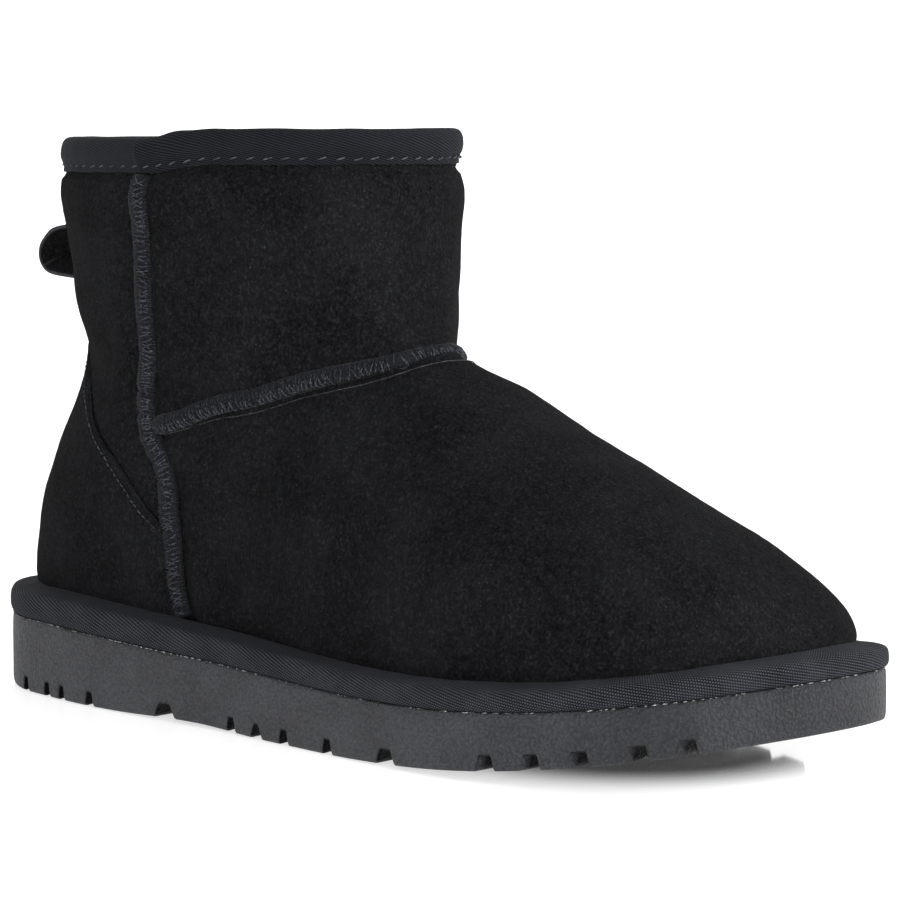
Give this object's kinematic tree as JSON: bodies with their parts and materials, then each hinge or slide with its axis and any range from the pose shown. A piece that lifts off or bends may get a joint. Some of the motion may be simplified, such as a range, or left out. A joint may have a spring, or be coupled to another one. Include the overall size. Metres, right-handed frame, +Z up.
{
  "type": "sheepskin ankle boot",
  "caption": "Short pull-on sheepskin ankle boot for the right foot: suede upper, taped collar, heel counter, back pull loop and a cleated rubber sole.",
  "frame": {"origin": "on the floor under the heel seat, on the flat tread between two grooves", "axes": "+X to the toe, +Y to the inner side of the foot, +Z up"},
  "size_m": [0.2722, 0.1027, 0.1509],
  "materials": {
    "suede": "black napped suede, matt",
    "tape": "dark twill tape",
    "rubber": "dark grey rubber with a fine pebble grain",
    "fleece": "short dense pile"
  },
  "bodies": {
    "root": {"outsole": "rubber", "wrapped_midsole": "tape", "insole": "fleece", "upper": "suede", "heel_counter": "suede", "collar_binding": "tape", "pull_loop": "suede"}
  },
  "joints": []
}
